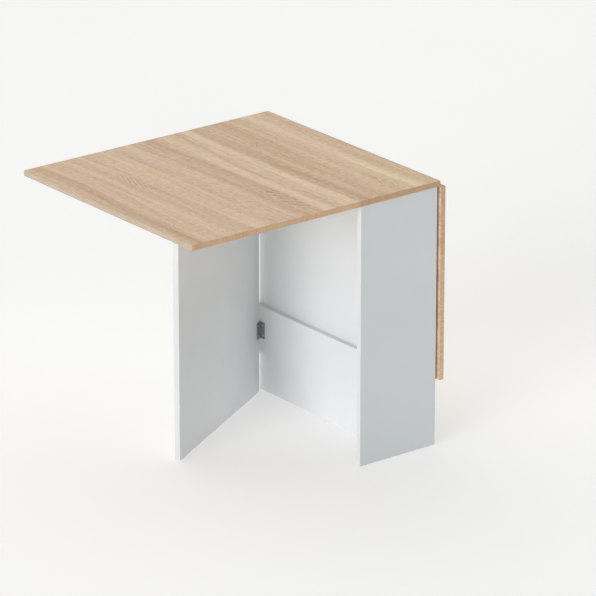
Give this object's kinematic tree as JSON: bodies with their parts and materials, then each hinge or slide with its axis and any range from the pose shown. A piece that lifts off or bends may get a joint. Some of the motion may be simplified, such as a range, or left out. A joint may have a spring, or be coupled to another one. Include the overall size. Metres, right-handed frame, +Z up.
{
  "type": "gateleg table",
  "caption": "Drop-leaf gateleg table: narrow white carcass, oak-look top and hinged leaves, swinging gates that carry them.",
  "frame": {"origin": "on the floor, at the centre of the table's outline with the left leaf raised and the right leaf hanging", "axes": "+X from the raised leaf to the hanging leaf, +Y along the hinge lines to the end where the left gate is hinged, +Z up"},
  "size_m": [0.8638, 0.77, 0.778],
  "materials": {
    "oak_board": "light oak melamine with embossed grain along Y, satin",
    "white_board": "white melamine, fine pearl texture, satin",
    "dark_steel": "dark zinc-plated pressed steel",
    "zinc": "die-cast zinc, dull",
    "white_plastic": "moulded nylon, matt",
    "beech": "fluted beech dowel, raw"
  },
  "bodies": {
    "carcass": {"top_center": "oak_board", "end_panel_front": "white_board", "end_panel_back": "white_board", "spine_panel": "white_board", "rail_upper": "white_board", "rail_lower": "white_board", "cam_back_lower": "zinc", "cam_back_upper": "zinc", "cam_bolt_back_lower": "zinc", "cam_bolt_back_upper": "zinc", "cam_bolt_front_lower": "zinc", "cam_bolt_front_upper": "zinc", "cam_front_lower": "zinc", "cam_front_upper": "zinc", "floor_glide_back_left": "white_plastic", "floor_glide_back_right": "white_plastic", "floor_glide_front_left": "white_plastic", "floor_glide_front_right": "white_plastic", "gate_hinge_left_lower_fixed_plate": "dark_steel", "gate_hinge_left_lower_pin": "dark_steel", "gate_hinge_left_upper_fixed_plate": "dark_steel", "gate_hinge_left_upper_pin": "dark_steel", "gate_hinge_right_lower_fixed_plate": "dark_steel", "gate_hinge_right_lower_pin": "dark_steel", "gate_hinge_right_upper_fixed_plate": "dark_steel", "gate_hinge_right_upper_pin": "dark_steel", "leaf_hinge_left_back_fixed_plate": "dark_steel", "leaf_hinge_left_back_pin": "dark_steel", "leaf_hinge_left_front_fixed_plate": "dark_steel", "leaf_hinge_left_front_pin": "dark_steel", "leaf_hinge_left_middle_fixed_plate": "dark_steel", "leaf_hinge_left_middle_pin": "dark_steel", "leaf_hinge_right_back_fixed_plate": "dark_steel", "leaf_hinge_right_back_pin": "dark_steel", "leaf_hinge_right_front_fixed_plate": "dark_steel", "leaf_hinge_right_front_pin": "dark_steel", "leaf_hinge_right_middle_fixed_plate": "dark_steel", "leaf_hinge_right_middle_pin": "dark_steel", "top_dowel_back_left": "beech", "top_dowel_back_right": "beech", "top_dowel_front_left": "beech", "top_dowel_front_right": "beech"},
    "left_leaf": {"leaf_left": "oak_board", "leaf_hinge_left_back_moving_plate": "dark_steel", "leaf_hinge_left_front_moving_plate": "dark_steel", "leaf_hinge_left_middle_moving_plate": "dark_steel"},
    "right_leaf": {"leaf_right": "oak_board", "leaf_hinge_right_back_moving_plate": "dark_steel", "leaf_hinge_right_front_moving_plate": "dark_steel", "leaf_hinge_right_middle_moving_plate": "dark_steel"},
    "left_gate": {"gate_left": "white_board", "gate_hinge_left_lower_moving_plate": "dark_steel", "gate_hinge_left_upper_moving_plate": "dark_steel", "gate_left_floor_glide": "white_plastic", "gate_left_leaf_glide": "white_plastic"},
    "right_gate": {"gate_right": "white_board", "gate_hinge_right_lower_moving_plate": "dark_steel", "gate_hinge_right_upper_moving_plate": "dark_steel", "gate_right_floor_glide": "white_plastic", "gate_right_leaf_glide": "white_plastic"}
  },
  "joints": [
    {"name": "left_leaf_hinge", "type": "hinge", "parent": "carcass", "child": "left_leaf", "pos_m": [0.1353, 0, 0.7598], "axis": [0, 1, 0], "range_deg": [0, 1]},
    {"name": "right_leaf_hinge", "type": "hinge", "parent": "carcass", "child": "right_leaf", "pos_m": [0.4137, 0, 0.7598], "axis": [0, -1, 0], "range_deg": [0, 91]},
    {"name": "left_gate_hinge", "type": "hinge", "parent": "carcass", "child": "left_gate", "pos_m": [0.2643, 0.231, 0], "axis": [0, 0, -1], "range_deg": [-60.4, 34.6]},
    {"name": "right_gate_hinge", "type": "hinge", "parent": "carcass", "child": "right_gate", "pos_m": [0.3007, -0.231, 0], "axis": [0, 0, -1], "range_deg": [0, 9.5]}
  ]
}
